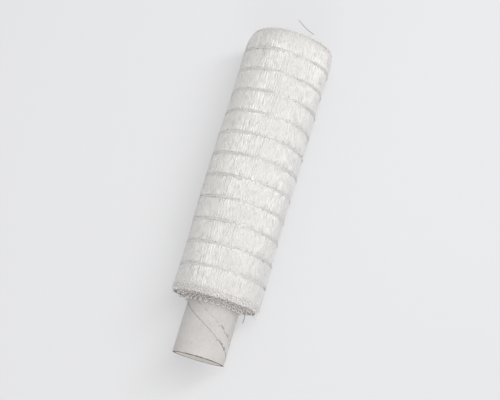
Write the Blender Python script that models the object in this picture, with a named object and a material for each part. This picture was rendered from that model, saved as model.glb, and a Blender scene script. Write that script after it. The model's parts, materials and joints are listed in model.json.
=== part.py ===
"""Roll of knitted tree-guard netting on an extended spiral-wound paper core.

The roll lies on its side: its axis runs along Y, the bare core end that serves
as a handle points to -Y, and the floor is z = 0.  The origin is on the flat
patch under the roll, below the axis, in the middle of one inlay band.
Metres, +Z up.
"""
import math

import bmesh
import bpy
from mathutils import Vector

# ---------------------------------------------------------------- dimensions
MM = 0.001
GAP = 0.3 * MM                 # clearance between neighbouring pieces

# knitted web
CHAIN_PITCH = 25.4 * MM        # one inch between pillar chains
CHAIN_COUNT = 13
CHAIN_WIDTH = 1.6 * MM
CHAIN_RADII = (47.3 * MM, 48.1 * MM)
NET_CENTRE_Y = CHAIN_PITCH / 2
NET_HALF = CHAIN_PITCH * (CHAIN_COUNT - 1) / 2
SELVEDGE_OUT = 4.6 * MM        # loops stand past the first and last chain

# inlay bands of the outermost turn
BAND_R_IN = 47.3 * MM
BAND_R_EDGE = 48.3 * MM
BAND_R_CROWN = 49.0 * MM
BAND_CROWN_HALF = 7.5 * MM

# wound turns below the outermost one
TURNS_R_OUT = 47.0 * MM
TURNS_R_SHOULDER = 45.5 * MM
TELESCOPE_NEAR = 2.4 * MM      # inner turns stand out at the handle end ...
TELESCOPE_FAR = 6.0 * MM       # ... and sink in at the far end
TURNS_HALF = 154.0 * MM
SHOULDER = 2.1 * MM

# spiral-wound core, four plies
BORE_R = 25.4 * MM             # two-inch bore
PLY_RADII = ((25.4 * MM, 26.0 * MM), (26.3 * MM, 26.95 * MM),
             (27.25 * MM, 27.9 * MM), (28.2 * MM, 28.8 * MM))
CORE_R = PLY_RADII[-1][1]
CORE_NEAR_Y = NET_CENTRE_Y - 220.0 * MM
CORE_FAR_Y = NET_CENTRE_Y + 152.0 * MM
SPIRAL_LEAD = 106.0 * MM       # axial advance of the outer ply in one turn
SPIRAL_SEAM = 0.5 * MM         # open butt seam of the outer ply
SPIRAL_PHASE = math.radians(69.6)

# tape that fixes the start of the web to the core
TAPE_RADII = (29.1 * MM, 29.35 * MM)
TAPE_ARC = (2, 5)              # steps of the common angle list
TAPE_HALF = 148.0 * MM

# flat patch where the soft roll rests: the crown is pressed in by one
# millimetre, so the axis is that much lower than the crown radius
PRESS = 1.0 * MM
AXIS_Z = BAND_R_CROWN - PRESS
FLAT_ANGLE = math.acos(AXIS_Z / BAND_R_CROWN)
ROUND_STEPS = 30

# free end of the web, a flap hinged where it leaves the roll
TAIL_RADII = (49.3 * MM, 50.1 * MM)
TAIL_START = math.radians(80.0)   # angle from straight down, towards +X
TAIL_END = math.radians(40.0)
TAIL_HALF = 154.5 * MM
TAIL_STEPS = 6
TAIL_COLUMNS = 6

# loose yarn ends
YARN_D = 0.8 * MM


# ------------------------------------------------------------------- helpers
def clear_scene():
    for obj in list(bpy.data.objects):
        bpy.data.objects.remove(obj, do_unlink=True)


def material(name, colour, roughness, metallic=0.0):
    mat = bpy.data.materials.new(name)
    mat.use_nodes = True
    shader = mat.node_tree.nodes.get("Principled BSDF")
    shader.inputs["Base Color"].default_value = (*colour, 1.0)
    shader.inputs["Roughness"].default_value = roughness
    shader.inputs["Metallic"].default_value = metallic
    mat.diffuse_color = (*colour, 1.0)
    return mat


def angles():
    """Angles from straight down: one at the bottom, one at each edge of the
    flat patch, and the rest evenly round."""
    step = (2 * math.pi - 2 * FLAT_ANGLE) / ROUND_STEPS
    return [0.0] + [FLAT_ANGLE + step * i for i in range(ROUND_STEPS + 1)]


ANGLES = angles()


def pressed(radius):
    """How far the bottom of a turn at this radius is pressed towards the axis."""
    share = min(1.0, max(0.0, (radius - CORE_R) / (BAND_R_CROWN - CORE_R)))
    return PRESS * share


def around(radius, angle):
    """A point on a turn, relative to the axis, as (x, z)."""
    r = radius - pressed(radius) if angle == 0.0 else radius
    return r * math.sin(angle), -r * math.cos(angle)


def finish_mesh(name, bm, sharp_deg=35.0):
    bmesh.ops.recalc_face_normals(bm, faces=bm.faces)
    if bm.calc_volume(signed=True) < 0:
        bmesh.ops.reverse_faces(bm, faces=bm.faces)
    mesh = bpy.data.meshes.new(name)
    bm.to_mesh(mesh)
    bm.free()
    mesh.shade_smooth()
    mesh.set_sharp_from_angle(angle=math.radians(sharp_deg))
    return mesh


def turned_mesh(name, profile):
    """A closed ring: profile points (radius, y) carried round the axis.
    A radius may be a function of the step number."""
    bm = bmesh.new()
    rings = []
    for i, angle in enumerate(ANGLES):
        ring = []
        for radius, y in profile:
            r = radius(i) if callable(radius) else radius
            x, z = around(r, angle)
            ring.append(bm.verts.new((x, y, z)))
        rings.append(ring)
    n = len(profile)
    for i in range(len(rings)):
        a, b = rings[i], rings[(i + 1) % len(rings)]
        for j in range(n):
            k = (j + 1) % n
            bm.faces.new((a[j], a[k], b[k], b[j]))
    return finish_mesh(name, bm)


def plate_mesh(name, columns, closed_caps=True):
    """A closed solid swept through cross-sections of equal point count."""
    bm = bmesh.new()
    rows = [[bm.verts.new(p) for p in column] for column in columns]
    n = len(rows[0])
    for a, b in zip(rows, rows[1:]):
        for j in range(n):
            k = (j + 1) % n
            bm.faces.new((a[j], a[k], b[k], b[j]))
    if closed_caps:
        bm.faces.new(rows[0])
        bm.faces.new(list(reversed(rows[-1])))
    return finish_mesh(name, bm)


def place(name, mesh, mat, parent, location=(0.0, 0.0, 0.0)):
    obj = bpy.data.objects.new(name, mesh)
    bpy.context.scene.collection.objects.link(obj)
    if mat.name not in [m.name for m in mesh.materials if m]:
        mesh.materials.append(mat)
    obj.parent = parent
    obj.location = location
    return obj


def empty(name, location, parent=None):
    obj = bpy.data.objects.new(name, None)
    bpy.context.scene.collection.objects.link(obj)
    obj.location = location
    obj.parent = parent
    return obj


def tube_profile(radii, y0, y1):
    return [(radii[0], y0), (radii[1], y0), (radii[1], y1), (radii[0], y1)]


# --------------------------------------------------------------------- core
def spiral_ply_mesh(name, radii, y0, y1):
    """The outer ply: one strip wound as a helix, its edges a seam apart, cut
    square at both ends of the core."""
    per_turn = len(ANGLES)
    turns = (y1 - y0) / SPIRAL_LEAD
    first = -per_turn - 2
    last = int(math.ceil((turns + 1) * per_turn)) + 2
    columns = []
    for step in range(first, last):
        turn, i = divmod(step, per_turn)
        angle = ANGLES[i]
        low = y0 + SPIRAL_LEAD * (turn + (angle - SPIRAL_PHASE) / (2 * math.pi))
        high = low + SPIRAL_LEAD - SPIRAL_SEAM
        low, high = max(low, y0), min(high, y1)
        if high - low < 1.0 * MM:
            continue
        inner = (radii[0] * math.sin(angle), -radii[0] * math.cos(angle))
        outer = (radii[1] * math.sin(angle), -radii[1] * math.cos(angle))
        columns.append([(inner[0], low, inner[1]), (outer[0], low, outer[1]),
                        (outer[0], high, outer[1]), (inner[0], high, inner[1])])
    return plate_mesh(name, columns)


def build_core(root, mats):
    names = ("core_inner_ply", "core_body_ply_1", "core_body_ply_2")
    for name, radii in zip(names, PLY_RADII):
        mesh = turned_mesh(name, tube_profile(radii, CORE_NEAR_Y, CORE_FAR_Y))
        place(name, mesh, mats["core_board"], root)
    mesh = spiral_ply_mesh("core_outer_ply", PLY_RADII[3], CORE_NEAR_Y, CORE_FAR_Y)
    place("core_outer_ply", mesh, mats["core_paper"], root)


def build_start_tape(root, mats):
    columns = []
    for i in range(TAPE_ARC[0], TAPE_ARC[1] + 1):
        a = ANGLES[i]
        (x0, z0), (x1, z1) = around(TAPE_RADII[0], a), around(TAPE_RADII[1], a)
        columns.append([(x0, -TAPE_HALF, z0), (x1, -TAPE_HALF, z1),
                        (x1, TAPE_HALF, z1), (x0, TAPE_HALF, z0)])
    place("start_tape", plate_mesh("start_tape", columns), mats["tape"], root,
          (0.0, NET_CENTRE_Y, 0.0))


# ---------------------------------------------------------------------- net
def turns_inner_radius(i):
    over_tape = TAPE_ARC[0] - 1 <= i <= TAPE_ARC[1] + 1
    return TAPE_RADII[1] + GAP if over_tape else CORE_R + GAP


def near_face_y(radius):
    """Handle-end face of the wound turns: a blunt cone, furthest out at the core."""
    share = (TURNS_R_SHOULDER - radius) / (TURNS_R_SHOULDER - CORE_R)
    return -(TURNS_HALF + SHOULDER + (TELESCOPE_NEAR * share))


def far_face_y(radius):
    """Far face of the wound turns: dished by the same shift of the turns."""
    share = (TURNS_R_SHOULDER - radius) / (TURNS_R_SHOULDER - CORE_R)
    return TURNS_HALF + SHOULDER - TELESCOPE_FAR * share


def build_turns(root, mats):
    mid = (CORE_R + TURNS_R_SHOULDER) / 2
    core_side = CORE_R + GAP
    profile = [
        (turns_inner_radius, near_face_y(core_side)),
        (mid, near_face_y(mid)),
        (TURNS_R_SHOULDER, near_face_y(TURNS_R_SHOULDER)),
        (TURNS_R_OUT, -TURNS_HALF),
        (TURNS_R_OUT, TURNS_HALF),
        (TURNS_R_SHOULDER, far_face_y(TURNS_R_SHOULDER)),
        (mid, far_face_y(mid)),
        (turns_inner_radius, far_face_y(core_side)),
    ]
    place("net_wound_turns", turned_mesh("net_wound_turns", profile),
          mats["net_inner"], root, (0.0, NET_CENTRE_Y, 0.0))


def build_bands(root, mats):
    half = (CHAIN_PITCH - CHAIN_WIDTH) / 2 - GAP
    profile = [(BAND_R_IN, -half), (BAND_R_EDGE, -half),
               (BAND_R_CROWN, -BAND_CROWN_HALF), (BAND_R_CROWN, BAND_CROWN_HALF),
               (BAND_R_EDGE, half), (BAND_R_IN, half)]
    mesh = turned_mesh("inlay_band", profile)
    for k in range(CHAIN_COUNT - 1):
        y = NET_CENTRE_Y - NET_HALF + CHAIN_PITCH * (k + 0.5)
        place("inlay_band_%02d" % (k + 1), mesh, mats["net"], root, (0.0, y, 0.0))


def build_chains(root, mats):
    mesh = turned_mesh("pillar_chain", tube_profile(
        CHAIN_RADII, -CHAIN_WIDTH / 2, CHAIN_WIDTH / 2))
    for k in range(CHAIN_COUNT):
        y = NET_CENTRE_Y - NET_HALF + CHAIN_PITCH * k
        place("pillar_chain_%02d" % (k + 1), mesh, mats["net_chain"], root,
              (0.0, y, 0.0))


def build_selvedges(root, mats):
    inside = CHAIN_WIDTH / 2 + GAP
    near = turned_mesh("selvedge_loops_near", tube_profile(
        (BAND_R_IN, BAND_R_EDGE), -SELVEDGE_OUT, -inside))
    far = turned_mesh("selvedge_loops_far", tube_profile(
        (BAND_R_IN, BAND_R_EDGE), inside, SELVEDGE_OUT))
    place("selvedge_loops_near", near, mats["net_chain"], root,
          (0.0, NET_CENTRE_Y - NET_HALF, 0.0))
    place("selvedge_loops_far", far, mats["net_chain"], root,
          (0.0, NET_CENTRE_Y + NET_HALF, 0.0))


def build_turn_edges(root, mats):
    """Rows of selvedge loops of the turns below, seen on the end faces."""
    half_r, thick, clear = 0.8 * MM, 1.2 * MM, 0.65 * MM
    for j, radius in enumerate((31.2 * MM, 36.6 * MM, 42.0 * MM)):
        radii = (radius - half_r, radius + half_r)
        y = near_face_y(radius) - clear
        place("turn_edge_near_%d" % (j + 1),
              turned_mesh("turn_edge_near_%d" % (j + 1),
                          tube_profile(radii, -thick, 0.0)),
              mats["net_chain"], root, (0.0, NET_CENTRE_Y + y, 0.0))
        y = far_face_y(radius) + clear
        place("turn_edge_far_%d" % (j + 1),
              turned_mesh("turn_edge_far_%d" % (j + 1),
                          tube_profile(radii, 0.0, thick)),
              mats["net_chain"], root, (0.0, NET_CENTRE_Y + y, 0.0))


def build_tail(mats, root):
    """The web's free outer end, hinged on the line where it leaves the roll."""
    mid = sum(TAIL_RADII) / 2
    hinge = Vector((mid * math.sin(TAIL_START), NET_CENTRE_Y,
                    AXIS_Z - mid * math.cos(TAIL_START)))
    pivot = empty("tail_hinge", hinge)
    bm = bmesh.new()
    grid = {}
    for i in range(TAIL_STEPS + 1):
        a = TAIL_START + (TAIL_END - TAIL_START) * i / TAIL_STEPS
        for j in range(TAIL_COLUMNS + 1):
            y = -TAIL_HALF + 2 * TAIL_HALF * j / TAIL_COLUMNS
            for s, r in enumerate(TAIL_RADII):
                grid[i, j, s] = bm.verts.new((r * math.sin(a) - hinge.x, y,
                                              AXIS_Z - r * math.cos(a) - hinge.z))
    for i in range(TAIL_STEPS):
        for j in range(TAIL_COLUMNS):
            for s in (0, 1):
                bm.faces.new([grid[i + di, j + dj, s]
                              for di, dj in ((0, 0), (1, 0), (1, 1), (0, 1))])
    for j in range(TAIL_COLUMNS):
        for i in (0, TAIL_STEPS):
            bm.faces.new((grid[i, j, 0], grid[i, j + 1, 0],
                          grid[i, j + 1, 1], grid[i, j, 1]))
    for i in range(TAIL_STEPS):
        for j in (0, TAIL_COLUMNS):
            bm.faces.new((grid[i, j, 0], grid[i + 1, j, 0],
                          grid[i + 1, j, 1], grid[i, j, 1]))
    place("net_tail", finish_mesh("net_tail", bm), mats["net"], pivot)


# --------------------------------------------------------------- yarn ends
def yarn_mesh(name, points, diameter):
    """A stiff yarn end: a poly curve with a round bevel and filled caps."""
    curve = bpy.data.curves.new(name, "CURVE")
    curve.dimensions = "3D"
    curve.bevel_depth = diameter / 2
    curve.bevel_resolution = 1
    curve.use_fill_caps = True
    spline = curve.splines.new("POLY")
    spline.points.add(len(points) - 1)
    for point, co in zip(spline.points, points):
        point.co = (*co, 1.0)
    return curve


def bow(start, end, sag, count):
    """Points on a shallow parabola from start to end, bowed by sag."""
    start, end, sag = Vector(start), Vector(end), Vector(sag)
    out = []
    for i in range(count):
        t = i / (count - 1)
        out.append(start.lerp(end, t) + sag * (4 * t * (1 - t)))
    return out


def build_yarn_ends(root, mats):
    """Two cut yarn ends that stand off the selvedges at the right-hand side."""
    r = (BAND_R_IN + BAND_R_EDGE) / 2
    far_y = NET_HALF + SELVEDGE_OUT + GAP
    a = math.radians(154.6)
    points = bow((r * math.sin(a), far_y, -r * math.cos(a)),
                 (-0.6 * MM, far_y + 11.0 * MM, -r * math.cos(a) + 1.0 * MM),
                 (0.0, 0.0, 1.2 * MM), 7)
    place("yarn_end_far", yarn_mesh("yarn_end_far", points, YARN_D),
          mats["net_chain"], root, (0.0, NET_CENTRE_Y, 0.0))
    a = math.radians(135.4)
    near_y = -(NET_HALF + SELVEDGE_OUT + GAP)
    points = bow((r * math.sin(a), near_y, -r * math.cos(a)),
                 (r * math.sin(a) + 0.5 * MM, near_y - 16.0 * MM,
                  -r * math.cos(a) - 3.0 * MM),
                 (0.6 * MM, 0.0, 0.8 * MM), 6)
    place("yarn_end_near", yarn_mesh("yarn_end_near", points, YARN_D),
          mats["net_chain"], root, (0.0, NET_CENTRE_Y, 0.0))


def main():
    clear_scene()
    mats = {
        "net": material("net", (0.86, 0.85, 0.83), 0.38),
        "net_chain": material("net_chain", (0.80, 0.79, 0.77), 0.42),
        "net_inner": material("net_inner", (0.78, 0.77, 0.75), 0.50),
        "core_paper": material("core_paper", (0.70, 0.67, 0.65), 0.78),
        "core_board": material("core_board", (0.48, 0.41, 0.36), 0.90),
        "tape": material("tape", (0.75, 0.68, 0.50), 0.30),
    }
    root = empty("roll_axis", (0.0, 0.0, AXIS_Z))
    build_core(root, mats)
    build_start_tape(root, mats)
    build_turns(root, mats)
    build_bands(root, mats)
    build_chains(root, mats)
    build_selvedges(root, mats)
    build_turn_edges(root, mats)
    build_tail(mats, root)
    build_yarn_ends(root, mats)
    bpy.context.view_layer.update()


main()
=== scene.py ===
"""Looks for the roll of knitted tree-guard netting on its paper core."""
import json
import math

import bpy
import numpy as np
from mathutils import Matrix, Vector


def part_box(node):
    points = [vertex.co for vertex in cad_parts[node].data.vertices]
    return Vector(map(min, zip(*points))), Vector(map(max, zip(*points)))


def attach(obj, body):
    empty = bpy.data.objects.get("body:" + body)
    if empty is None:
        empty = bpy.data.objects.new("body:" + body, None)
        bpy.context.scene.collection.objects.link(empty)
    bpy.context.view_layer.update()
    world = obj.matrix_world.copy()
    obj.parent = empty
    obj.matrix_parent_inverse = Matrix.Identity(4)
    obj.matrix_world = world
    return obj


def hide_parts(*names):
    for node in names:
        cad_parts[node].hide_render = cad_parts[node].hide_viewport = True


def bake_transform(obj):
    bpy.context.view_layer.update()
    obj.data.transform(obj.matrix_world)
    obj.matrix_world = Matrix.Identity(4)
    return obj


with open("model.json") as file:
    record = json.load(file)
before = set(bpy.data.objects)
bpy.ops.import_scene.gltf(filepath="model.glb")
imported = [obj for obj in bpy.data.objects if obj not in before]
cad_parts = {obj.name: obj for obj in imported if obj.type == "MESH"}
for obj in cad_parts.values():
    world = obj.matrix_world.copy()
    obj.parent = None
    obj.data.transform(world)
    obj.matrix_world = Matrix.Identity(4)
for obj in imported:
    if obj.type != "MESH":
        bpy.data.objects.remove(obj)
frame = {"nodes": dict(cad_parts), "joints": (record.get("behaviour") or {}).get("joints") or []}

MM = 0.001
TAU = 2 * math.pi

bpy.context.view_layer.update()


# ------------------------------------------------------------ places from CAD
def mid(node, axis):
    lo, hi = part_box(node)
    return (lo[axis] + hi[axis]) / 2


CHAIN_Y = [mid("pillar_chain_%02d" % (k + 1), 1) for k in range(13)]
PITCH = (CHAIN_Y[-1] - CHAIN_Y[0]) / 12
NET_Y = mid("pillar_chain_07", 1)                    # middle of the web
AXIS_Z = mid("core_inner_ply", 2)
BAND_LO, BAND_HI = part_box("inlay_band_06")
R_CROWN = (BAND_HI[0] - BAND_LO[0]) / 2              # crown of the inlay bands
R_GROOVE = (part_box("pillar_chain_07")[1][0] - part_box("pillar_chain_07")[0][0]) / 2
CORE_LO, CORE_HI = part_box("core_outer_ply")
R_CORE = (CORE_HI[0] - CORE_LO[0]) / 2
CORE_NEAR, CORE_FAR = CORE_LO[1], CORE_HI[1]
R_BORE = R_CORE - 3.4 * MM
NEAR_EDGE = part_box("selvedge_loops_near")[0][1]      # outer rim at the handle end
FAR_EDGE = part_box("selvedge_loops_far")[1][1]
TURN_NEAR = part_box("net_wound_turns")[0][1]          # innermost turn's near edge
HINGE = Vector(frame["joints"][0]["pos_m"]) if frame["joints"] else Vector((0.049, NET_Y, 0.039))
HINGE_ANGLE = math.atan2(HINGE.x, HINGE.z - AXIS_Z)  # from the top, towards +X
TAIL_LO, TAIL_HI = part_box("net_tail")
GROOVE = 0.13 * MM                                    # how far a chain draws the net in


# ---------------------------------------------------------------- mesh makers
def new_mesh(name, verts, faces, smooth=True):
    """A mesh object from an (n, 3) array and a list of quad/tri index arrays."""
    mesh = bpy.data.meshes.new(name)
    verts = np.asarray(verts, dtype=np.float32)
    groups = [np.asarray(f, dtype=np.int32) for f in faces if len(f)]
    mesh.vertices.add(len(verts))
    mesh.vertices.foreach_set("co", verts.ravel())
    loops = np.concatenate([g.ravel() for g in groups])
    sizes = np.concatenate([np.full(len(g), g.shape[1], dtype=np.int32) for g in groups])
    starts = np.concatenate([[0], np.cumsum(sizes)[:-1]]).astype(np.int32)
    mesh.loops.add(len(loops))
    mesh.loops.foreach_set("vertex_index", loops)
    mesh.polygons.add(len(sizes))
    mesh.polygons.foreach_set("loop_start", starts)
    mesh.polygons.foreach_set("loop_total", sizes)
    mesh.update(calc_edges=True)
    mesh.validate()
    if smooth:
        mesh.shade_smooth()
    obj = bpy.data.objects.new(name, mesh)
    bpy.context.scene.collection.objects.link(obj)
    return obj


class Soup:
    """Collects parts of one mesh."""

    def __init__(self):
        self.verts, self.quads, self.tris, self.count = [], [], [], 0

    def add(self, verts, quads=None, tris=None):
        verts = np.asarray(verts).reshape(-1, 3)
        if quads is not None and len(quads):
            self.quads.append(np.asarray(quads) + self.count)
        if tris is not None and len(tris):
            self.tris.append(np.asarray(tris) + self.count)
        self.verts.append(verts)
        self.count += len(verts)

    def build(self, name, mat, body, smooth=True):
        faces = []
        if self.quads:
            faces.append(np.concatenate(self.quads))
        if self.tris:
            faces.append(np.concatenate(self.tris))
        obj = new_mesh(name, np.concatenate(self.verts), faces, smooth)
        obj.data.materials.append(mat)
        if body:
            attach(obj, body)
        return obj


def tube(points, normals, width, thick, closed=False, sides=6, twist=None):
    """Verts and quads of a tube or ribbon along points (m, 3), flat side along
    normals, turned about its run by twist; an open one is capped."""
    p = np.asarray(points, float)
    n = np.asarray(normals, float)
    if closed:
        t = np.roll(p, -1, 0) - np.roll(p, 1, 0)
    else:
        t = np.empty_like(p)
        t[1:-1] = p[2:] - p[:-2]
        t[0], t[-1] = p[1] - p[0], p[-1] - p[-2]
    t /= np.maximum(np.linalg.norm(t, axis=1, keepdims=True), 1e-12)
    b = np.cross(t, n)
    b /= np.maximum(np.linalg.norm(b, axis=1, keepdims=True), 1e-12)
    n2 = np.cross(b, t)
    if twist is not None:
        c, d = np.cos(twist)[:, None], np.sin(twist)[:, None]
        b, n2 = c * b + d * n2, c * n2 - d * b
    phi = TAU * (np.arange(sides) + 0.5) / sides
    w = np.broadcast_to(np.asarray(width, float), (len(p),))[:, None, None] / 2
    h = np.broadcast_to(np.asarray(thick, float), (len(p),))[:, None, None] / 2
    verts = (p[:, None, :] + b[:, None, :] * np.cos(phi)[None, :, None] * w
             + n2[:, None, :] * np.sin(phi)[None, :, None] * h)
    m = len(p)
    i = np.arange(m if closed else m - 1)[:, None]
    j = np.arange(sides)[None, :]
    i2, j2 = (i + 1) % m, (j + 1) % sides
    quads = np.stack([i * sides + j, i2 * sides + j, i2 * sides + j2, i * sides + j2], -1)
    quads = quads.reshape(-1, 4)
    verts = verts.reshape(-1, 3)
    tris = None
    if not closed:
        # caps: fans round an end point pushed out a little, so the end is blunt
        first = p[0] - t[0] * h[0, 0, 0] * 0.6
        last = p[-1] + t[-1] * h[-1, 0, 0] * 0.6
        base = len(verts)
        verts = np.vstack([verts, first, last])
        k = np.arange(sides)
        k2 = (k + 1) % sides
        tris = np.vstack([
            np.stack([np.full(sides, base), k, k2], 1),
            np.stack([np.full(sides, base + 1), (m - 1) * sides + k2, (m - 1) * sides + k], 1)])
    verts[:, 2] = np.maximum(verts[:, 2], 0.05 * MM)         # nothing goes into the floor
    return verts, quads, tris


def on_roll(theta, y, r):
    """Points at an angle from the top (towards +X), along the axis and at a
    radius; what would go under the floor is pressed flat on it."""
    theta, y, r = np.broadcast_arrays(theta, y, r)
    x = r * np.sin(theta)
    z = AXIS_Z + r * np.cos(theta)
    z = np.maximum(z, 0.15 * MM)
    return np.stack([x, y, z], -1)


def radial(theta):
    return np.stack([np.sin(theta), np.zeros_like(theta), np.cos(theta)], -1)


class Lumps:
    """Smooth periodic unevenness over the roll's surface, about -1 to 1."""

    def __init__(self, seed, count, around, along):
        g = np.random.default_rng(seed)
        self.m = g.integers(around[0], around[1] + 1, count) * g.choice([-1, 1], count)
        self.k = TAU / (g.uniform(along[0], along[1], count) * MM)
        self.p = g.uniform(0, TAU, count)
        self.a = g.uniform(0.5, 1.0, count)
        self.a /= np.sqrt((self.a ** 2).sum() / 2)

    def __call__(self, theta, y):
        theta, y = np.broadcast_arrays(theta, y)
        out = np.zeros(theta.shape)
        for m, k, p, a in zip(self.m, self.k, self.p, self.a):
            out += a * np.cos(m * theta + k * y + p)
        return out * 0.6


broad = Lumps(3, 7, (1, 5), (70, 260))
fine = Lumps(5, 12, (6, 26), (14, 60))


def bump(x, centre, half):
    return np.exp(-((x - centre) / half) ** 2)


def envelope(theta, y):
    """Radius of the wound net's outer surface: puffed between the chains,
    drawn in at each chain, rounded at both ends and softly uneven."""
    theta, y = np.broadcast_arrays(np.asarray(theta, float), np.asarray(y, float))
    s = np.mod(y - CHAIN_Y[0], PITCH) / PITCH
    wide = np.clip(np.sin(math.pi * s), 0, 1)
    inside = (y > CHAIN_Y[0]) & (y < CHAIN_Y[-1])
    # a shallow crown over the whole band and a narrow nick at the chain
    puff = np.where(inside, 0.6 * wide ** 0.8 + 0.4 * (1 - np.exp(-(wide / 0.34) ** 2)), 0.15)
    depth = GROOVE * (1 + 0.45 * broad(theta + 1.7, y * 1.3)) * (0.75 - 0.35 * np.sin(theta))
    r = R_CROWN - depth * (1 - puff)
    r = r + 0.32 * MM * broad(theta, y) + 0.045 * MM * fine(theta, y)
    yy = y - NET_Y
    # fuller on the right at the far end, and a little on the left at mid length
    r = r + 2.3 * MM * bump(theta, 1.35, 0.55) * bump(yy, 138 * MM, 22 * MM)
    r = r + 1.3 * MM * bump(theta, -1.35, 0.6) * bump(yy, 5 * MM, 70 * MM)
    r = r - 0.8 * MM * bump(theta, 1.45, 0.5) * bump(yy, -60 * MM, 60 * MM)
    # shoulders: long and soft at the far end, most of all on the left
    left = 0.5 - 0.5 * np.sin(theta)
    for edge, sign, size, drop in ((FAR_EDGE, 1, (15 + 9 * left) * MM, (6.5 + 2.5 * left) * MM),
                                   (NEAR_EDGE, -1, 10 * MM + 0 * left, 4.2 * MM + 0 * left)):
        d = np.clip((sign * (y - edge) + size) / size, 0, 1)
        r = r - drop * (1 - np.sqrt(np.clip(1 - d ** 2.2, 0, 1)))
    return r


# -------------------------------------------------------------------- materials
def principled(name, colour, rough, **inputs):
    mat = bpy.data.materials.new(name)
    mat.use_nodes = True
    nodes, links = mat.node_tree.nodes, mat.node_tree.links
    shader = nodes["Principled BSDF"]
    shader.inputs["Base Color"].default_value = (*colour, 1)
    shader.inputs["Roughness"].default_value = rough
    for key, value in inputs.items():
        shader.inputs[key.replace("_", " ")].default_value = value
    return mat, nodes, links, shader


def noise(nodes, links, scale, detail=3.0, rough=0.55, stretch=(1, 1, 1), coords="Object"):
    tc = nodes.new("ShaderNodeTexCoord")
    mp = nodes.new("ShaderNodeMapping")
    mp.inputs["Scale"].default_value = stretch
    tex = nodes.new("ShaderNodeTexNoise")
    tex.inputs["Scale"].default_value = scale
    tex.inputs["Detail"].default_value = detail
    tex.inputs["Roughness"].default_value = rough
    links.new(tc.outputs[coords], mp.inputs["Vector"])
    links.new(mp.outputs["Vector"], tex.inputs["Vector"])
    return tex


def ramp(nodes, links, source, stops):
    node = nodes.new("ShaderNodeValToRGB")
    while len(node.color_ramp.elements) < len(stops):
        node.color_ramp.elements.new(0.5)
    for element, (pos, colour) in zip(node.color_ramp.elements, stops):
        element.position = pos
        element.color = (*colour, 1) if len(colour) == 3 else colour
    links.new(source, node.inputs["Fac"])
    return node


def remap(nodes, links, source, lo, hi, out_lo, out_hi):
    node = nodes.new("ShaderNodeMapRange")
    node.inputs["From Min"].default_value = lo
    node.inputs["From Max"].default_value = hi
    node.inputs["To Min"].default_value = out_lo
    node.inputs["To Max"].default_value = out_hi
    links.new(source, node.inputs["Value"])
    return node


def add_bump(nodes, links, shader, source, strength, distance):
    node = nodes.new("ShaderNodeBump")
    node.inputs["Strength"].default_value = strength
    node.inputs["Distance"].default_value = distance
    links.new(source, node.inputs["Height"])
    links.new(node.outputs["Normal"], shader.inputs["Normal"])
    return node


def net_material(name, light, dark, rough, bump_mm):
    """Glossy white plastic yarn: uneven whiteness, fine draw lines."""
    mat, nodes, links, shader = principled(name, light, rough)
    shader.inputs["Specular IOR Level"].default_value = 0.7
    shader.inputs["IOR"].default_value = 1.6
    shader.inputs["Metallic"].default_value = 0.20
    blotch = noise(nodes, links, 55.0, 3.0, 0.6)
    r = ramp(nodes, links, blotch.outputs["Fac"], [(0.30, dark), (0.62, light)])
    streak = noise(nodes, links, 1.0, 3.0, 0.65, (820, 420, 820))
    f = ramp(nodes, links, streak.outputs["Fac"], [(0.38, (0.925, 0.918, 0.912)), (0.58, (1, 1, 1))])
    m = nodes.new("ShaderNodeMix")
    m.data_type = "RGBA"
    m.blend_type = "MULTIPLY"
    m.inputs["Factor"].default_value = 1.0
    links.new(r.outputs["Color"], m.inputs["A"])
    links.new(f.outputs["Color"], m.inputs["B"])
    links.new(m.outputs["Result"], shader.inputs["Base Color"])
    grain = noise(nodes, links, 1.0, 2.0, 0.5, (2600, 900, 2600))
    rr = remap(nodes, links, grain.outputs["Fac"], 0.3, 0.7, rough - 0.03, rough + 0.05)
    links.new(rr.outputs["Result"], shader.inputs["Roughness"])
    add_bump(nodes, links, shader, grain.outputs["Fac"], 0.5, bump_mm * MM)
    return mat


yarn_mat = net_material("net_yarn", (0.870, 0.859, 0.843), (0.842, 0.829, 0.812), 0.40, 0.004)
# painted light: the chain yarn is a lighter copy of the net yarn, to cancel the shade in the grooves at the chains
chain_mat = net_material("chain_yarn", (0.925, 0.913, 0.896), (0.86, 0.847, 0.83), 0.40, 0.02)
loop_mat = net_material("loop_yarn", (0.95, 0.935, 0.92), (0.90, 0.88, 0.86), 0.20, 0.02)
# painted light: the last row of edge loops gets a lighter, matt copy of the loop yarn, as if lit more than the rows
# behind it
last_row_lit_mat = net_material("last_row_yarn_painted_light", (0.98, 0.97, 0.955), (0.95, 0.935, 0.92), 0.30, 0.02)
last_row_lit_mat.node_tree.nodes["Principled BSDF"].inputs["Metallic"].default_value = 0.0
hair_mat = net_material("loose_yarn_look", (0.44, 0.42, 0.40), (0.34, 0.32, 0.30), 0.34, 0.02)


def package_material(name, dark, light):
    """The turns below: a dense mat of fine threads lying nearly along the
    roll, mottled between its dark and light colours."""
    mat, nodes, links, shader = principled(name, light, 0.42)
    shader.inputs["Specular IOR Level"].default_value = 0.7
    shader.inputs["IOR"].default_value = 1.6
    shader.inputs["Metallic"].default_value = 0.3
    streak = noise(nodes, links, 1.0, 4.0, 0.6, (1300, 110, 1300))
    weave = noise(nodes, links, 1.0, 3.0, 0.6, (700, 620, 700))
    mix = nodes.new("ShaderNodeMath")
    mix.operation = "ADD"
    links.new(streak.outputs["Fac"], mix.inputs[0])
    links.new(weave.outputs["Fac"], mix.inputs[1])
    r = ramp(nodes, links, remap(nodes, links, mix.outputs[0], 0.6, 1.4, 0, 1).outputs["Result"],
             [(0.25, dark), (0.60, light)])
    links.new(r.outputs["Color"], shader.inputs["Base Color"])
    add_bump(nodes, links, shader, mix.outputs[0], 0.4, 0.2 * MM)
    return mat


package_mat = package_material("net_turns", (0.88, 0.86, 0.84), (0.94, 0.925, 0.91))
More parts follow.
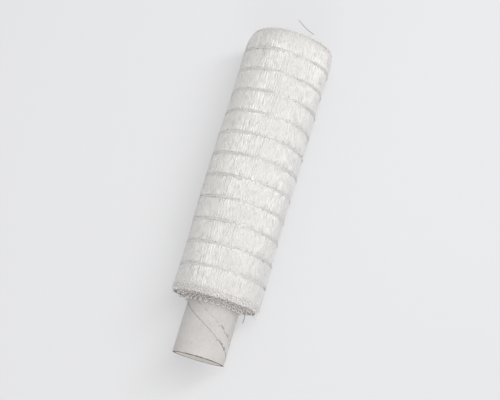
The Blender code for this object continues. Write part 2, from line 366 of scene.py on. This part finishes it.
# painted shade: the end faces of the turns get a dark copy of the net colour, standing in for the shade between and
# behind the edge loops
package_end_shade_mat = package_material("net_turn_ends_painted_shade", (0.40, 0.385, 0.37), (0.66, 0.64, 0.62))


def paper_material():
    """Grey recycled paper: faint mottling and fibres; the dark band along the rim is painted shade, set in tube_solid.
    """
    mat, nodes, links, shader = principled("core_paper_look", (0.66, 0.64, 0.625), 0.72)
    cloud = noise(nodes, links, 38.0, 4.0, 0.6)
    fibre = noise(nodes, links, 1.0, 3.0, 0.65, (900, 300, 900))
    c = ramp(nodes, links, cloud.outputs["Fac"], [(0.3, (0.60, 0.583, 0.57)), (0.7, (0.70, 0.685, 0.675))])
    f = ramp(nodes, links, fibre.outputs["Fac"], [(0.28, (0.86, 0.85, 0.84)), (0.5, (1, 1, 1))])
    m = nodes.new("ShaderNodeMix")
    m.data_type = "RGBA"
    m.blend_type = "MULTIPLY"
    m.inputs["Factor"].default_value = 1.0
    links.new(c.outputs["Color"], m.inputs["A"])
    links.new(f.outputs["Color"], m.inputs["B"])
    links.new(m.outputs["Result"], shader.inputs["Base Color"])
    add_bump(nodes, links, shader, fibre.outputs["Fac"], 0.35, 0.12 * MM)
    return mat


def board_material(name, light, dark):
    """Raw brown board, as on the cut edge and inside the bore."""
    mat, nodes, links, shader = principled(name, light, 0.88)
    fibre = noise(nodes, links, 1.0, 4.0, 0.7, (1100, 500, 1100))
    c = ramp(nodes, links, fibre.outputs["Fac"], [(0.3, dark), (0.68, light)])
    links.new(c.outputs["Color"], shader.inputs["Base Color"])
    add_bump(nodes, links, shader, fibre.outputs["Fac"], 0.5, 0.2 * MM)
    return mat


paper_mat = paper_material()
# raw brown board colour of the cut ends, also used as painted shade along the top of the core's near rim
cut_edge_and_shade_mat = board_material("core_cut_edge_and_rim_shade", (0.27, 0.20, 0.165), (0.12, 0.085, 0.07))
# brown of the board in the seams, darkened as painted shade of the open seam
seam_edge_and_shade_mat = board_material("core_seam_edge_and_shade", (0.42, 0.36, 0.32), (0.22, 0.18, 0.16))
board_mat = board_material("core_board_look", (0.52, 0.47, 0.42), (0.40, 0.35, 0.31))
liner_mat = board_material("core_liner_look", (0.90, 0.88, 0.86), (0.80, 0.78, 0.755))
tape_mat, _n, _l, _s = principled("start_tape_look", (0.72, 0.62, 0.42), 0.25)
_g = noise(_n, _l, 220.0, 3.0)
_l.new(ramp(_n, _l, _g.outputs["Fac"], [(0.3, (0.66, 0.56, 0.36)), (0.7, (0.76, 0.67, 0.47))]).outputs["Color"],
       _s.inputs["Base Color"])


# -------------------------------------------------------------------- package
def near_face(share):
    return NEAR_EDGE + 3.4 * MM + (TURN_NEAR - NEAR_EDGE - 1.2 * MM) * share


def far_face(share):
    return FAR_EDGE - 1.4 * MM - 6.0 * MM * share


def build_package():
    """The wound turns as one closed body: the side under the yarns, and both
    end faces ridged by the edges of the turns."""
    n_t = 224
    theta = np.linspace(-math.pi, math.pi, n_t, endpoint=False)
    rows = []
    # side, from the near rim to the far rim
    ys = np.concatenate([
        np.linspace(NEAR_EDGE + 3.4 * MM, CHAIN_Y[0], 6, endpoint=False),
        np.linspace(CHAIN_Y[0], CHAIN_Y[-1], 12 * 16, endpoint=False),
        np.linspace(CHAIN_Y[-1], FAR_EDGE - 1.4 * MM, 9)])
    for y in ys:
        r = envelope(theta, y) - 0.42 * MM
        rows.append(on_roll(theta, y, r))
    ridge_n = 26
    for side in ("far", "near"):
        face = []
        for i in range(1, ridge_n + 1):
            f = i / ridge_n
            rim = envelope(theta, FAR_EDGE - 1.4 * MM if side == "far" else NEAR_EDGE + 3.4 * MM) - 0.70 * MM
            r0 = R_CORE + 0.25 * MM + (rim - R_CORE - 0.25 * MM) * (1 - f)
            wob = 0.35 * MM * np.sin(3 * theta + i * 0.9) + 0.25 * MM * np.sin(7 * theta - i * 1.7)
            ridge = 0.55 * MM * (i % 2) + 0.35 * MM * np.sin(31 * theta + 2.1 * i) + wob * min(1, 4 * (1 - f) + 0.2)
            y = (far_face(f) + ridge) if side == "far" else (near_face(f) - ridge)
            face.append(on_roll(theta, y, r0))
        rows = rows + face if side == "far" else face[::-1] + rows
    grid = np.stack(rows)
    m = len(grid)
    i = np.arange(m)[:, None]
    j = np.arange(n_t)[None, :]
    i2, j2 = (i + 1) % m, (j + 1) % n_t
    quads = np.stack([i * n_t + j, i * n_t + j2, i2 * n_t + j2, i2 * n_t + j], -1).reshape(-1, 4)
    s = Soup()
    s.add(grid.reshape(-1, 3), quads)
    obj = s.build("wound_turns", package_mat, "roll")
    # the end faces take the painted-shade copy
    obj.data.materials.append(package_end_shade_mat)
    kind = np.zeros(m, int)
    kind[:ridge_n] = 1
    kind[m - ridge_n:] = 1
    obj.data.polygons.foreach_set("material_index", np.repeat(kind, n_t).astype(np.int32))
    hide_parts("net_wound_turns")
    return obj


# ------------------------------------------------------------- inlay threads
def zigzag(k_lo, k_hi, advance, depth, seed, width, thick, pts=8, arc=None, lift=None, turn=0.0, stray=0.07 * MM,
           span=None):
    """One yarn that runs to and fro between two chains as it goes round (or
    between the two places along the axis given as span)."""
    g = np.random.default_rng(seed)
    y_a, y_b = span or (CHAIN_Y[k_lo] - 0.3 * MM, CHAIN_Y[k_hi] + 0.3 * MM)
    if arc is None:
        n = 2 * int(round(TAU * R_CROWN / (2 * advance)))
        ends = np.arange(n) * TAU / n - math.pi
        closed = True
    else:
        n = max(4, int(round((arc[1] - arc[0]) * R_CROWN / advance)))
        ends = np.linspace(arc[0], arc[1], n)
        closed = False
    ends = ends + g.uniform(-0.36, 0.36, n) * advance / R_CROWN
    legs = n if closed else n - 1
    t = np.arange(pts) / pts
    e0 = ends[:legs]
    e1 = np.concatenate([ends[1:], [ends[0] + TAU]])[:legs] if closed else ends[1:]
    th = e0[:, None] + (e1 - e0)[:, None] * t[None, :]
    wave = g.normal(0, 1, (legs, 3))
    bow = np.sin(math.pi * t)[None, :]
    th = th + bow * (wave[:, :1] * 0.16 * MM + wave[:, 1:2] * 0.10 * MM * np.sin(TAU * t * 1.5 + 1)[None, :]) / R_CROWN
    start = np.where(np.arange(legs) % 2 == 0, y_a, y_b)[:, None]
    stop = np.where(np.arange(legs) % 2 == 0, y_b, y_a)[:, None]
    over = 0.35 * MM * g.uniform(-1, 1, (legs, 1))
    yy = start + (stop - start) * t[None, :] + over * (1 - bow)
    th, yy = th.ravel(), yy.ravel()
    if not closed:
        th = np.append(th, ends[-1])
        yy = np.append(yy, stop.ravel()[-1])
    r = envelope(th, yy) - depth
    level = np.repeat(g.normal(0, 1, legs), pts)
    level = np.append(level, 0.0)[:len(th)] if not closed else level
    along = np.abs(np.sin(math.pi * np.clip((yy - y_a) / (y_b - y_a), 0, 1)))
    r = r + stray * level * along
    if lift is not None:
        r = r + lift(th)
    swing = np.repeat(g.normal(0, 1, legs), pts)
    swing = np.append(swing, 0.0)[:len(th)] if not closed else swing
    # the yarns lie smooth along the top and are more disturbed down the left
    loose = 1 / (1 + np.exp((th + 0.50) / 0.12)) + 0.4 / (1 + np.exp((0.75 - th) / 0.12))
    if width < 0.7 * MM:
        r = r - 0.20 * MM * (1 - loose)
    twist = turn * (0.25 + loose) * (swing + 0.6 * np.sin(yy / (3.1 * MM) + 3 * swing)) * along
    return tube(on_roll(th, yy, r), radial(th), width, thick, closed=closed, sides=4, twist=twist)


# advance, depth, width, thickness (mm), twist (rad), stray height (mm)
LAYERS = ((1.7, 0.08, 0.50, 0.06, 0.10, 0.01), (2.6, 0.10, 0.60, 0.06, 0.09, 0.01),
          (1.4, 0.12, 1.10, 0.05, 0.01, 0.003), (1.6, 0.135, 1.25, 0.05, 0.01, 0.003),
          (1.3, 0.15, 1.05, 0.05, 0.01, 0.003), (1.8, 0.17, 1.40, 0.05, 0.01, 0.003),
          (1.5, 0.19, 1.20, 0.05, 0.01, 0.003), (2.6, 0.24, 2.60, 0.06, 0.01, 0.003))


def build_inlays():
    for k in range(12):
        s = Soup()
        for j, (advance, depth, width, thick, turn, stray) in enumerate(LAYERS):
            s.add(*zigzag(k, k + 1, advance * MM, depth * MM, 1000 + 17 * k + j,
                          width * MM, thick * MM, turn=turn, stray=stray * MM))
        if k == 0:
            # past the first chain the same yarns run on to the edge loops
            for j, (advance, depth, width) in enumerate(((1.9, 0.10, 1.5), (2.4, 0.16, 1.9), (2.1, 0.24, 1.7))):
                s.add(*zigzag(0, 0, advance * MM, depth * MM, 1300 + j, width * MM, 0.08 * MM, turn=0.05,
                              stray=0.02 * MM, span=(NEAR_EDGE + 0.6 * MM, CHAIN_Y[0] + 0.6 * MM)))
        obj = s.build("inlay_yarns_%02d" % (k + 1), yarn_mat, "roll", smooth=False)
        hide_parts("inlay_band_%02d" % (k + 1))


# -------------------------------------------------------------------- chains
STITCHES = 96


def chain_path(y0, theta0, theta1, stitches, phase, half_width, pts, seed, raise_=0.0, lift=None):
    """The knitted chain: a yarn that lays lobes to both sides of its line."""
    g = np.random.default_rng(seed)
    n = stitches * pts
    t = np.arange(n) / pts * TAU
    step = (theta1 - theta0) / stitches
    th = theta0 + step * (t / TAU) - step * 0.30 * np.sin(2 * t + phase)
    drift = 0.25 * MM * np.sin(3 * th + seed) + 0.15 * MM * np.sin(8 * th + 2 * seed)
    wid = half_width * (1 + 0.2 * np.repeat(g.normal(0, 1, stitches), pts))
    y = y0 + wid * np.sin(t + phase) + drift
    r = envelope(th, np.full_like(th, y0)) + raise_ + 0.14 * MM * np.cos(2 * t + phase)
    if lift is not None:
        r = r + lift(th)
    return th, y, r


def build_chains():
    for k in range(13):
        s = Soup()
        for i, (phase, dy, up) in enumerate(((0.0, 0.0, 0.08 * MM), (2.6, 0.12 * MM, 0.02 * MM))):
            th, y, r = chain_path(CHAIN_Y[k] + dy, -math.pi, math.pi, STITCHES, phase,
                                  0.34 * MM, 12, 31 * k + i, up)
            s.add(*tube(on_roll(th, y, r), radial(th), 0.42 * MM, 0.24 * MM, closed=True, sides=4))
        # the yarns laid in along the chain close the gap between its lobes
        for i, (dy, down, wide) in enumerate(((0.0, 0.04, 1.1), (0.0, 0.10, 2.2))):
            th = np.linspace(-math.pi, math.pi, 700, endpoint=False)
            y = CHAIN_Y[k] + (dy + 0.22 * np.sin(5 * th + i + k) + 0.12 * np.sin(17 * th + 2 * k)) * MM
            if k in (0, 12):
                y = y - math.copysign(0.5 * MM, CHAIN_Y[k] - NET_Y)
            r = envelope(th, np.full_like(th, CHAIN_Y[k])) - down * MM
            s.add(*tube(on_roll(th, y, r), radial(th), wide * MM, 0.15 * MM, closed=True, sides=4))
        obj = s.build("chain_%02d" % (k + 1), chain_mat, "roll", smooth=False)
        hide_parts("pillar_chain_%02d" % (k + 1))


# --------------------------------------------------------------------- loops
def loop_row(radius, y0, reach, pitch, diameter, seed, sign, spread=0.58, pts=22, tilt=0.0, even=0.12):
    """A row of round edge loops: each curls out past y0 by reach and back over
    its own neck. radius is a number or a function of the angle; sign is -1 at
    the handle end and +1 at the far end."""
    g = np.random.default_rng(seed)
    base = radius if callable(radius) else (lambda th: np.full_like(th, radius))
    n = int(round(TAU * float(np.mean(base(np.linspace(-math.pi, math.pi, 60)))) / pitch))
    t = np.arange(n * pts) / pts * TAU
    step = TAU / n
    per = np.repeat(np.arange(n), pts)
    size = 1 + even * g.normal(0, 1, n)
    side = 0.06 * g.normal(0, 1, n)
    out = np.sin(t / 2) ** 2
    th = -math.pi + step * (t / TAU) + step * spread * np.sin(t) * size[per] + step * side[per] * out
    y = y0 + sign * reach * size[per] * out
    rad = base(th) + diameter * 0.62 * np.sin(t)
    rad = rad + tilt * out + (0.2 * MM * g.normal(0, 1, n))[per] * out
    rad = np.maximum(rad, R_CORE + diameter * 0.5)
    return tube(on_roll(th, y, rad), radial(th), diameter, diameter * 0.85, closed=True, sides=6)


def strands(seed, count, theta, y, length, lean, width):
    """Cut threads that stand out of the edge, each with its own bend."""
    g = np.random.default_rng(seed)
    out = []
    for i in range(count):
        a = g.uniform(*theta)
        y0 = g.uniform(*y)
        n = 12
        t = np.linspace(0, 1, n)
        size = g.uniform(*length)
        th = a + (g.normal(0, 0.5) * t + g.normal(0, 0.5) * t ** 2) * size / R_GROOVE
        yy = y0 + lean * size * t * g.uniform(0.6, 1.0)
        rr = envelope(np.full(n, a), np.full(n, y0)) - 1.0 * MM + (0.9 * t ** 1.5 * g.uniform(-0.5, 0.6)) * size
        p = on_roll(th, yy, rr)
        out.append(tube(p, radial(th), width * (1 - 0.5 * t), width * 0.8 * (1 - 0.5 * t), sides=5))
    return out


def build_edges():
    near_y = {j: mid("turn_edge_near_%d" % j, 1) for j in (1, 2, 3)}
    far_y = {j: mid("turn_edge_far_%d" % j, 1) for j in (1, 2, 3)}
    yarn = {1: 1.25 * MM, 2: 0.8 * MM, 3: 0.8 * MM}
    for j in (1, 2, 3):
        lo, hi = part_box("turn_edge_near_%d" % j)
        r = (hi[0] - lo[0]) / 2 - 0.9 * MM
        for side, ys, sign in (("near", near_y, -1), ("far", far_y, 1)):
            s = Soup()
            back, reach = {1: (2.0, 4.6), 2: (3.4, 3.6), 3: (3.4, 3.6)}[j]
            s.add(*loop_row(r - 0.3 * MM, ys[j] - sign * back * MM, reach * MM, 6.5 * MM, yarn[j], 70 + j, sign,
                            spread=0.47, tilt=(1.4 if j == 1 else 0.6) * MM, even=0.03))
            # painted light: the first row's loops use the lighter copy, and the rows behind use the plain loop yarn
            obj = s.build("turn_loops_%s_%d" % (side, j), last_row_lit_mat if j == 1 else loop_mat, "roll")
            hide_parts("turn_edge_%s_%d" % (side, j))
    for side, edge, sign in (("near", NEAR_EDGE, -1), ("far", FAR_EDGE, 1)):
        s = Soup()
        rows = (((5.2, 4.6, 6.2, 0.6, 0.0, 0.85), (8.2, 4.0, 4.9, 0.0, 0.3, 0.60))
                if side == "near" else
                ((5.2, 2.2, 5.2, 0.9, -1.0, 0.50), (4.6, 1.8, 6.3, 1.8, -1.0, 0.50)))
        for i, (back, reach, pitch, sunk, tilt, thick) in enumerate(rows):
            y0 = edge - sign * back * MM
            s.add(*loop_row(lambda th, y0=y0, sunk=sunk: envelope(th, np.full_like(th, y0)) - sunk * MM, y0,
                            reach * MM, pitch * MM, thick * MM, 7 + i, sign, spread=0.5, tilt=tilt * MM, even=0.25))
        if side == "near":
            for part in strands(61, 18, (0.9, 1.75), (NEAR_EDGE, NEAR_EDGE + 3 * MM), (3.5 * MM, 8.5 * MM), -1, 0.34 * MM):
                s.add(*part)
            for part in strands(63, 22, (-math.pi, math.pi), (NEAR_EDGE + MM, NEAR_EDGE + 3 * MM), (2.0 * MM, 4.2 * MM),
                                -1, 0.28 * MM):
                s.add(*part)
        # short stitches that close the edge behind the loops
        for i in range(2):
            yy = edge - sign * (6.4 - 1.3 * i) * MM
            th, y, r = chain_path(yy, -math.pi, math.pi, STITCHES, 1.3 * i, 0.55 * MM, 10, 400 + i, -0.15 * MM)
            s.add(*tube(on_roll(th, y, r), radial(th), 0.44 * MM, 0.34 * MM, closed=True, sides=4))
        obj = s.build("selvedge_%s" % side, loop_mat, "roll")
        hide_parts("selvedge_loops_%s" % side)


# ----------------------------------------------------------------------- core
SPIRAL_LEAD = 106.0 * MM
SEAM_Y = NET_Y - 187.5 * MM           # where the seam crosses the top line
UNDER_SEAM = 13.7 * MM                # the ply below butts this far along
HELIX_COS = math.cos(math.atan2(SPIRAL_LEAD, TAU * R_CORE))


def seam_distance(theta, y, shift):
    """Signed distance across the strip from the nearest seam line."""
    d = y - (SEAM_Y + shift) + SPIRAL_LEAD * theta / TAU
    d = np.mod(d + SPIRAL_LEAD / 2, SPIRAL_LEAD) - SPIRAL_LEAD / 2
    return d * HELIX_COS


def core_skin(theta, y, r):
    """Height of the outer ply: an open seam, a step where the ply below
    butts, and faint waviness."""
    d1 = seam_distance(theta, y, 0.0)
    d2 = seam_distance(theta, y, UNDER_SEAM)
    h = -0.34 * MM * np.exp(-(d1 / (0.36 * MM)) ** 2)
    h = h - 0.20 * MM * np.exp(-(d2 / (0.34 * MM)) ** 2)
    h = h + 0.10 * MM * np.tanh(d1 / (0.5 * MM)) * np.exp(-(d1 / (6 * MM)) ** 2)
    h = h - 0.07 * MM * ((d1 > 0) & (d2 < 0)) * (1 - np.exp(-(d1 / MM) ** 2)) * (1 - np.exp(-(d2 / MM) ** 2))
    h = h + 0.10 * MM * np.sin(2 * theta + 0.6) * np.sin((y - CORE_NEAR) * 30)
    return r + h


def seam_threads():
    """Dark brown strips laid in the seams, the raw board edge darkened as painted
    shade of the open seam: one whole, one broken and frayed where the ply was torn."""
    g = np.random.default_rng(12)
    parts = []
    y_lo, y_hi = CORE_NEAR + 0.3 * MM, TURN_NEAR
    for shift, broken, width in ((0.0, False, 0.25), (UNDER_SEAM, True, 0.32)):
        for wrap in range(-3, 4):
            th = np.linspace(-math.pi, math.pi, 260)
            y = SEAM_Y + shift - SPIRAL_LEAD * th / TAU + wrap * SPIRAL_LEAD
            keep = (y > y_lo) & (y < y_hi)
            if broken:
                keep &= (np.sin(th * 23 + 1.0) + 0.7 * np.sin(th * 61 + wrap) > -0.8)
            runs = np.split(np.arange(len(th)), np.flatnonzero(np.diff(keep.astype(int))) + 1)
            for run in runs:
                if len(run) > 2 and keep[run[0]]:
                    w = (width + 0.12 * np.sin(th[run] * 47)) * MM
                    p = on_roll(th[run], y[run], np.full(len(run), R_CORE - 0.10 * MM))
                    parts.append(tube(p, radial(th[run]), w, 0.30 * MM, sides=6))
    # torn fibres beside the lower right of the seams
    for i in range(34):
        a = g.uniform(0.45, 1.0)
        shift = g.choice([0.0, UNDER_SEAM])
        y0 = SEAM_Y + shift - SPIRAL_LEAD * a / TAU
        t = np.linspace(0, 1, 6)
        size = g.uniform(0.9, 2.6) * MM
        turn = g.uniform(0, TAU)
        th = a + size * np.cos(turn) * t / R_CORE
        y = y0 + g.normal(0, 0.5) * MM + size * np.sin(turn) * t
        p = on_roll(th, y, R_CORE + 0.05 * MM + 0.25 * MM * np.sin(math.pi * t))
        parts.append(tube(p, radial(th), g.uniform(0.3, 0.6) * MM, 0.22 * MM, sides=5))
    return parts


def tube_solid(name, mat_list, r_in, r_out, y0, y1, ys, n_t, outer=None, inner=None, end_wob=0.0, seed=0,
               nodes=(), extra=(), rim_shade_width=0.0):
    """A closed tube: outer skin, two end rings and the inner skin. Faces get
    material 0 outside, 1 on the ends and 2 inside."""
    g = np.random.default_rng(seed)
    theta = np.linspace(-math.pi, math.pi, n_t, endpoint=False)
    wob = end_wob * sum(np.cos(m * theta + g.uniform(0, TAU)) for m in (2, 3, 5, 9, 17)) / 3
    rows, kinds = [], []

    def row(y, r, kind):
        rows.append(on_roll(theta, y, r))
        kinds.append(kind)

    for y in ys:
        w = wob * np.exp(-abs(y - y0) / (3 * MM))
        r = np.full_like(theta, r_out)
        if outer is not None:
            r = outer(theta, np.full_like(theta, y), r)
        row(y + w, r, 0)
    for f in (0.06, 0.5, 0.94):
        row(y1 + wob * 0, r_out - (r_out - r_in) * f, 1)
    inner_ys = np.linspace(y1, y0, 40)
    for y in inner_ys:
        row(y + wob * np.exp(-abs(y - y0) / (3 * MM)), np.full_like(theta, r_in), 2)
    for f in (0.94, 0.5, 0.06):
        row(y0 + wob, r_out - (r_out - r_in) * f, 1)
    grid = np.stack(rows)
    m = len(grid)
    i = np.arange(m)[:, None]
    j = np.arange(n_t)[None, :]
    i2, j2 = (i + 1) % m, (j + 1) % n_t
    quads = np.stack([i * n_t + j, i * n_t + j2, i2 * n_t + j2, i2 * n_t + j], -1).reshape(-1, 4)
    s = Soup()
    s.add(grid.reshape(-1, 3), quads)
    kind = np.array(kinds)
    nxt = np.roll(kind, -1)
    index = np.repeat(np.where(kind == nxt, kind, 1), n_t)
    if rim_shade_width:
        # painted shade: the top of the near rim takes the dark cut-edge material in a band, standing in for the shade
        # inside the bore's mouth
        shade_band = rim_shade_width * np.clip(1 - ((theta + 0.05) / 1.25) ** 2, 0, 1) * (0.85 + 0.3 * np.sin(9 * theta) * np.sin(23 * theta))
        inset = np.array([abs(y - y0) for y in ys])[:, None]
        patch = index.reshape(m, n_t)
        patch[:len(ys)] = np.where(inset < shade_band[None, :], 1, patch[:len(ys)])
    extra_quads = extra_tris = 0
    for verts, q, tr in extra:
        s.add(verts, q, tr)
        extra_quads += len(q)
        extra_tris += len(tr)
    obj = s.build(name, mat_list[0], "roll")
    for mat in mat_list[1:]:
        obj.data.materials.append(mat)
    index = np.concatenate([index, np.full(extra_quads + extra_tris, 3)])
    obj.data.polygons.foreach_set("material_index", index.astype(np.int32))
    for node in nodes:
        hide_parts(node)
    return obj


def build_core():
    fine_end = NEAR_EDGE - 1.0 * MM
    ys = np.concatenate([
        [CORE_NEAR + 0.05 * MM],
        np.arange(CORE_NEAR + 0.30 * MM, fine_end, 0.33 * MM),
        np.linspace(fine_end, CORE_FAR - 1.0 * MM, 60), [CORE_FAR - 0.05 * MM]])
    r1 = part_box("core_body_ply_2")[1][0] + 0.12 * MM
    # painted shade: a dark band of the cut-edge material along the top of the near rim, for the shade inside the bore's
    # mouth
    tube_solid("core_outer_wrap", [paper_mat, cut_edge_and_shade_mat, board_mat, seam_edge_and_shade_mat], r1, R_CORE, CORE_NEAR, CORE_FAR, ys, 360,
               outer=core_skin, end_wob=0.10 * MM, seed=1, nodes=["core_outer_ply"], extra=seam_threads(),
               rim_shade_width=0.95 * MM)
    radii = []
    for node in ("core_body_ply_2", "core_body_ply_1", "core_inner_ply"):
        lo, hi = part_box(node)
        radii.append((hi[0] - lo[0]) / 2)
    gaps = [(radii[1] + 0.06 * MM, radii[0] + 0.06 * MM), (radii[2] + 0.06 * MM, radii[1] + 0.0 * MM),
            (R_BORE, radii[2])]
    mats = [board_mat, board_mat, liner_mat]
    for i, (node, (a, b)) in enumerate(zip(("core_body_ply_2", "core_body_ply_1", "core_inner_ply"), gaps)):
        inset = (0.10 + 0.08 * i) * MM
        tube_solid(node + "_board", [mats[i], cut_edge_and_shade_mat, mats[i]], a, b, CORE_NEAR + inset, CORE_FAR - inset,
                   np.linspace(CORE_NEAR + inset, CORE_FAR - inset, 40), 180, end_wob=0.12 * MM, seed=20 + i,
                   nodes=[node])


# ------------------------------------------------------------------ yarn ends
def build_yarn_ends():
    for name, node, bend in (("loose_yarn_far", "yarn_end_far", 1), ("loose_yarn_near", "yarn_end_near", -1)):
        lo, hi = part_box(node)
        t = np.linspace(0, 1, 22)
        if node == "yarn_end_far":
            a = np.array([hi[0] - 0.5 * MM, lo[1] + 0.2 * MM, lo[2] + 0.6 * MM])
            b = np.array([lo[0] + 0.4 * MM, hi[1] - 0.4 * MM, hi[2] - 0.9 * MM])
            p = a + (b - a) * t[:, None]
            p[:, 1] += -1.4 * MM * np.sin(math.pi * t)
            p[:, 2] += 0.8 * MM * np.sin(math.pi * t)
        else:
            a = np.array([lo[0] + 0.4 * MM, hi[1] - 0.2 * MM, hi[2] - 0.8 * MM])
            b = np.array([hi[0] - 0.6 * MM, lo[1] + 0.3 * MM, lo[2] + 0.6 * MM])
            p = a + (b - a) * t[:, None]
            p[:, 0] += 0.5 * MM * np.sin(math.pi * t)
        n = np.tile([0.0, 0.0, 1.0], (len(t), 1))
        width = ((0.85 if node == "yarn_end_far" else 1.15) - 0.30 * t ** 3) * MM
        s = Soup()
        s.add(*tube(p, n, width, width * 0.8, sides=8))
        obj = s.build(name, hair_mat, "roll")
        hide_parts(node)


# ------------------------------------------------------------ the free end
def build_tail():
    """The web's free outer end: it comes off the roll on the right, passes the
    hinge and hangs against the side."""
    start = HINGE_ANGLE - math.radians(30)
    tip = HINGE_ANGLE + math.radians(38.5)

    def lift(theta):
        f = np.clip((theta - start) / (HINGE_ANGLE - start), 0, 1)
        return (-0.55 + 1.25 * (f * f * (3 - 2 * f))) * MM

    s = Soup()
    for k in range(12):
        for j, (advance, depth, width, turn) in enumerate(((3.2, 0.05, 0.56, 0.30), (2.6, 0.24, 1.6, 0.06),
                                                                (2.9, 0.36, 1.5, 0.06))):
            s.add(*zigzag(k, k + 1, advance * MM, depth * MM, 5000 + 13 * k + j, width * MM, 0.16 * MM,
                          arc=(start, tip), lift=lift, turn=turn))
    stitches = int(round((tip - start) / TAU * STITCHES))
    for k in range(13):
        th, y, r = chain_path(CHAIN_Y[k], start, tip, stitches, 0.4, 0.62 * MM, 12, 700 + k, 0.25 * MM, lift)
        s.add(*tube(on_roll(th, y, r), radial(th), 0.46 * MM, 0.34 * MM, sides=4))
    obj = s.build("net_free_end", yarn_mat, None, smooth=False)
    return obj, start, tip


def build_tape():
    """The strip of tape under the first turn keeps its own CAD shape."""
    node = frame["nodes"]["start_tape"]
    for i in range(max(1, len(node.data.materials))):
        if len(node.data.materials):
            node.data.materials[i] = tape_mat
        else:
            node.data.materials.append(tape_mat)


# ---------------------------------------------------------------- the stage
def build_stage():
    bpy.ops.mesh.primitive_plane_add(size=1.0, location=(0, 0, 0))
    floor = bpy.context.object
    floor.name = "floor"
    floor.scale = (9, 9, 1)
    mat, nodes, links, shader = principled("floor_mat", (0.45, 0.455, 0.465), 0.6)
    shader.inputs["Emission Color"].default_value = (0.985, 0.99, 1.0, 1)
    shader.inputs["Emission Strength"].default_value = 0.358
    shader.inputs["Specular IOR Level"].default_value = 0.2
    floor.data.materials.append(mat)

    world = bpy.data.worlds.new("studio")
    bpy.context.scene.world = world
    world.use_nodes = True
    world.node_tree.nodes["Background"].inputs["Color"].default_value = (1.0, 0.978, 0.965, 1)
    world.node_tree.nodes["Background"].inputs["Strength"].default_value = 0.565

    def area(name, place, target, size, energy, colour, size_y=None):
        light = bpy.data.lights.new(name, "AREA")
        light.energy = energy
        light.color = colour
        light.shape = "RECTANGLE"
        light.size = size
        light.size_y = size_y or size
        obj = bpy.data.objects.new(name, light)
        bpy.context.scene.collection.objects.link(obj)
        obj.location = place
        d = Vector(target) - Vector(place)
        obj.rotation_euler = d.to_track_quat("-Z", "Y").to_euler()
        return obj

    area("key_softbox", (0.42, 0.42, 1.55), (0.0, 0.1, 0.05), 0.34, 13.6, (0.985, 0.995, 1.0), 1.9)
    area("front_fill", (0.25, -1.45, 0.95), (0, -0.16, 0.03), 0.6, 3.6, (1.0, 0.99, 0.98), 0.6)


def build_camera():
    cam = bpy.data.cameras.new("camera")
    cam.sensor_width = 36.0
    cam.lens = 1028.1 / 500 * 36.0
    cam.clip_start = 0.05
    obj = bpy.data.objects.new("camera", cam)
    bpy.context.scene.collection.objects.link(obj)
    elev, azim, roll = math.radians(76.81), math.radians(-1.81), math.radians(18.39)
    forward = Vector((-math.sin(azim) * math.cos(elev), math.cos(elev) * math.cos(azim), -math.sin(elev)))
    forward.normalize()
    right0 = forward.cross(Vector((0, 0, 1))).normalized()
    up0 = right0.cross(forward)
    right = math.cos(roll) * right0 + math.sin(roll) * up0
    up = -math.sin(roll) * right0 + math.cos(roll) * up0
    rot = Matrix((right, up, -forward)).transposed()
    obj.matrix_world = Matrix.Translation((-0.0033, NET_Y - 0.29702, 1.1645)) @ rot.to_4x4()
    bpy.context.scene.camera = obj


bpy.context.scene.view_settings.view_transform = "Standard"
build_camera()
build_stage()
build_package()
build_inlays()
build_chains()
build_edges()
build_core()
build_yarn_ends()
build_tape()
tail_obj, TAIL_START, TAIL_TIP = build_tail()
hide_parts("net_tail")


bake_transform(tail_obj)
